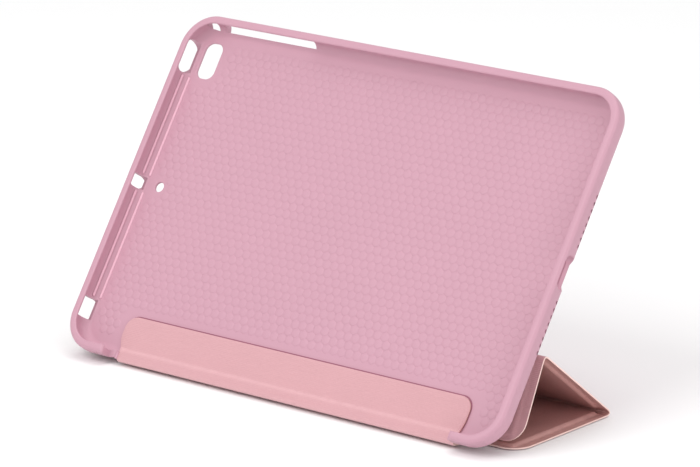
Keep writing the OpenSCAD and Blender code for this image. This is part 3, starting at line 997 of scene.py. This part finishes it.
def build_tab():
    """The glued tab as two closed sheets. Under them a dark film of glue reaches a little past the upper edge and
    shows there as a thin line, a painted shadow along the tab's edge."""
    corner = TAB_TOP - TAB_R * (1 - np.sin(np.linspace(0, np.pi / 2, 12)))
    v = np.unique(np.round(np.concatenate([
        stations(TAB_FOOT, TAB_TOP - TAB_R, 1.5 * MM, (4.3 * MM,), 0.2 * MM, 1.6 * MM),
        corner]), 7))
    x = across(*tab_sides(v))
    edge = np.minimum(x - x[:, :1], x[:, -1:] - x) / MM
    rows = v[:, None] + 0 * x
    top_edge = (TAB_TOP - rows) / MM
    soft = 0.14 * MM * (1 - smooth(np.minimum(edge, top_edge) / 0.8))
    middle = tab_middle(v)[:, None] + ripple(x, rows, 0.9)
    uv = np.stack([x, -rows], -1)
    # Painted highlight in a band along the sill's crease.
    crease_highlight = np.exp(-(((rows - SILL_CREASE) / (0.9 * MM)) ** 2)) * 0.5
    at = lambda n: tray_place(x, rows, n)
    top = closed_sheet("tab_microfibre", at(middle), at(middle + SHEET_HALF - soft), uv,
                       "microfibre_lining", [lining, cut_edge], "tray", crease_highlight)
    # The leather's rim takes the leather finish, not the pale cut edge: a dark line standing in for shade along
    # the tab's edge.
    low = closed_sheet("tab_leather", at(middle - SHEET_HALF), at(middle), uv, "leather_skin",
                       [leather, leather], "tray")
    # The dark film reaches past the tab's edge: a painted shadow line there.
    film_rows = v > GLUE_FOOT
    film = lambda n: tray_place(x + SHADOW_LINE_SIDE * np.sign(x), rows + SHADOW_LINE_UP, n)[film_rows]
    shadow_line_film = closed_sheet("tab_glue_shadow_line", film(FLOOR_N + GLUE_T - 0.02 * MM), film(FLOOR_N),
                         uv[film_rows], "glue_film", [glue_shadow_finish, glue_shadow_finish], "tray")
    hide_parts("tab_lining")
    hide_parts("tab_skin")
    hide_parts("tab_adhesive")


build_tab()

# %% Spine strip
STRIP_GAP = 1.5 * MM
STRIP_LEATHER = -0.1 * MM
STRIP_STAY = (-0.5 * MM, -0.8 * MM)
STRIP_LINING = -1.2 * MM


def strip_columns(rows):
    """Columns of a strip as long as the tab's foot, for a number of rows."""
    return across(np.full(rows, STRIP_LEFT), np.full(rows, STRIP_RIGHT))


def build_strip():
    """The flat strip between its two small folds: leather, a thin stay and lining."""
    s = stations(STRIP_GAP, STRIP_W - STRIP_GAP, 0.7 * MM)
    x = strip_columns(len(s))
    rows = s[:, None] + 0 * x
    uv = np.stack([x, rows - STRIP_W], -1)
    at = lambda h: side_place(fold["tab_fold"], STRIP_DIR, x, rows, h)
    skin = closed_sheet("spine_leather", at(STRIP_LEATHER), at(STRIP_STAY[0]), uv,
                        "leather_skin", [leather, cut_edge], "spine")
    stay = closed_sheet("spine_stay", at(STRIP_STAY[0]), at(STRIP_STAY[1]), uv,
                        "stiffener_board", [board_stock, cut_edge], "spine")
    cloth = closed_sheet("spine_microfibre", at(STRIP_STAY[1]), at(STRIP_LINING), uv,
                         "microfibre_lining", [lining, cut_edge], "spine")
    for made, node in ((skin, "spine_skin"), (stay, "spine_board"), (cloth, "spine_lining")):
        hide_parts(node)


build_strip()


# %% [markdown]
# ## Four folds
#
# At a fold the bare laminate turns from one flat piece to the next. Its middle is a cubic curve
# that leaves each piece in that piece's own direction; the longer the handles, the rounder the
# turn.


# %% Fold helpers
def bezier(p0, c0, c1, p1, count):
    """Points and unit directions of a cubic curve with these ends and handles."""
    t = np.linspace(0, 1, count)[:, None]
    q = 1 - t
    points = q**3 * p0 + 3 * q * q * t * c0 + 3 * q * t * t * c1 + t**3 * p1
    way = q * q * (c0 - p0) + 2 * q * t * (c1 - c0) + t * t * (p1 - c1)
    return points, way / np.linalg.norm(way, axis=1)[:, None]


def piece_end(start, angle, s, h):
    """Side-view place and direction of a flat piece where a fold takes over."""
    return side_place(start, angle, 0, s, h)[1:], np.array([np.cos(angle), np.sin(angle)])


def build_fold(name, ends, handle, halves, columns, path_start, count=17):
    """The leather and lining of a fold. Each is the curve moved sideways: leather to its left,
    lining to its right, by half the thickness of the laminate at the two ends."""
    (p0, way0), (p1, way1) = ends
    points, way = bezier(p0, p0 + way0 * handle, p1 - way1 * handle, p1, count)
    share = np.linspace(0, 1, count)
    half = (halves[0] * (1 - share) + halves[1] * share)[:, None]
    normal = np.stack([-way[:, 1], way[:, 0]], -1)
    length = np.concatenate([[0], np.cumsum(np.linalg.norm(np.diff(points, axis=0), axis=1))])
    uv = np.stack(np.broadcast_arrays(columns, path_start + length[:, None]), -1)
    # Painted highlight along the middle of the turn.
    highlight_paint = np.broadcast_to(0.7 * np.sin(np.pi * share)[:, None] ** 2, uv.shape[:2])

    def layer(side):
        place = points + normal * half * side
        return np.stack(np.broadcast_arrays(columns, place[:, :1], place[:, 1:]), -1)

    skin = closed_sheet(f"{name}_leather", layer(1), layer(0), uv, "leather_skin",
                        [leather, cut_edge], highlight_paint=highlight_paint)
    cloth = closed_sheet(f"{name}_microfibre", layer(0), layer(-1), uv, "microfibre_lining",
                         [lining, cut_edge], highlight_paint=highlight_paint)
    for made, node in ((skin, f"{name}_skin"), (cloth, f"{name}_lining")):
        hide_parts(node)
        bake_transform(made)


# %% Folds of the spine
STRIP_MID = (STRIP_LEATHER + STRIP_LINING) / 2
STRIP_HALF_T = (STRIP_LEATHER - STRIP_LINING) / 2
BORDER_MID = (LEATHER_BORDER + LINING_BORDER) / 2
BORDER_HALF_T = (LEATHER_BORDER - LINING_BORDER) / 2
strip_x = strip_columns(1)
bend_spread = smooth(np.linspace(-0.4, 1, 21))
bend_x = across(GAP_EDGES[0] + (STRIP_LEFT - GAP_EDGES[0]) * bend_spread,
                GAP_EDGES[1] + (STRIP_RIGHT - GAP_EDGES[1]) * bend_spread)
cover_x = COVER_HALF * COVER_COLUMNS[None, :]

tab_end = tray_place(0, TAB_FOOT, tab_middle(TAB_FOOT))[1:], -tray_up[1:]
strip_start = piece_end(fold["tab_fold"], STRIP_DIR, STRIP_GAP, STRIP_MID)
strip_end = piece_end(fold["tab_fold"], STRIP_DIR, STRIP_W - STRIP_GAP, STRIP_MID)
ground_start = piece_end(fold["spine_fold"], GROUND_DIR, FOLD_GAP, BORDER_MID)
build_fold("tab_bend", (tab_end, strip_start), 2.2 * MM,
           (SHEET_HALF, STRIP_HALF_T), bend_x, -TAB_FOOT, 21)
build_fold("spine_fold", (strip_end, ground_start), 1.1 * MM,
           (STRIP_HALF_T, BORDER_HALF_T), strip_x, -STRIP_GAP, 13)

# %% Folds of the stand
ground_end = piece_end(fold["spine_fold"], GROUND_DIR, GROUND_W - FOLD_GAP, BORDER_MID)
rear_start = piece_end(fold["tip_fold"], REAR_DIR, FOLD_GAP, BORDER_MID)
rear_end = piece_end(fold["tip_fold"], REAR_DIR, REAR_W - FOLD_GAP, BORDER_MID)
front_start = piece_end(fold["ridge_fold"], FRONT_DIR, FOLD_GAP, BORDER_MID)
build_fold("tip_fold", (ground_end, rear_start), 2.9 * MM,
           (BORDER_HALF_T, BORDER_HALF_T), cover_x, GROUND_W, 25)
build_fold("ridge_fold", (rear_end, front_start), 2.3 * MM,
           (BORDER_HALF_T, BORDER_HALF_T), cover_x, GROUND_W + REAR_W, 21)

# %% [markdown]
# ## Stage, light and camera
#
# The case stands on a plain pale floor in a bright, even studio: a white surround for fill, a
# wide soft light above the camera's left shoulder and a weaker one from the right. The camera is
# a long lens a good way off, so lines stay nearly parallel.


# %% Floor
def build_floor():
    """One wide square, level with the ground under the case."""
    finish, tree, shader = new_finish("floor_paint", 0.9)
    shader.inputs["Base Color"].default_value = (0.92, 0.92, 0.92, 1)
    mesh = bpy.data.meshes.new("floor")
    reach = 6.0
    corners = [(-reach, -reach, 0), (reach, -reach, 0), (reach, reach, 0), (-reach, reach, 0)]
    mesh.from_pydata(corners, [], [(0, 1, 2, 3)])
    mesh.materials.append(finish)
    floor = bpy.data.objects.new("floor", mesh)
    bpy.context.scene.collection.objects.link(floor)


build_floor()


# %% Lights
def soft_light(name, azimuth, elevation, distance, size, power):
    """A square area light at a direction from the case, turned to face it."""
    a, e = np.radians([azimuth, elevation])
    away = Vector((np.sin(a) * np.cos(e), -np.cos(a) * np.cos(e), np.sin(e)))
    data = bpy.data.lights.new(name, "AREA")
    data.energy = power
    data.size = size
    lamp = bpy.data.objects.new(name, data)
    lamp.location = away * distance
    lamp.rotation_mode = "QUATERNION"
    lamp.rotation_quaternion = away.to_track_quat("Z", "Y")
    bpy.context.scene.collection.objects.link(lamp)


soft_light("key", -12, 46, 1.6, 1.0, 11.7)
soft_light("fill", 80, 20, 1.8, 1.2, 8)
soft_light("top", 160, 78, 2.4, 2.2, 22)
world = bpy.data.worlds.new("studio")
world.use_nodes = True
world.node_tree.nodes["Background"].inputs["Color"].default_value = (1, 1, 1, 1)
world.node_tree.nodes["Background"].inputs["Strength"].default_value = 0.6
bpy.context.scene.world = world
bpy.context.scene.view_settings.view_transform = "Standard"


# %% Camera
def build_camera(azimuth, elevation, distance, lens, aim):
    """A camera at a direction and distance from the point it looks at."""
    a, e = np.radians([azimuth, elevation])
    back = Vector((np.sin(a) * np.cos(e), -np.cos(a) * np.cos(e), np.sin(e)))
    data = bpy.data.cameras.new("camera")
    data.lens = lens
    data.clip_start, data.clip_end = 0.05, 50
    camera = bpy.data.objects.new("camera", data)
    camera.location = Vector(aim) + back * distance
    camera.rotation_mode = "QUATERNION"
    camera.rotation_quaternion = back.to_track_quat("Z", "Y")
    bpy.context.scene.collection.objects.link(camera)
    bpy.context.scene.camera = camera


build_camera(39.25, 15.51, 1.7085, 236.57, tray_place(3.1 * MM, 68.2 * MM, FLOOR_N))
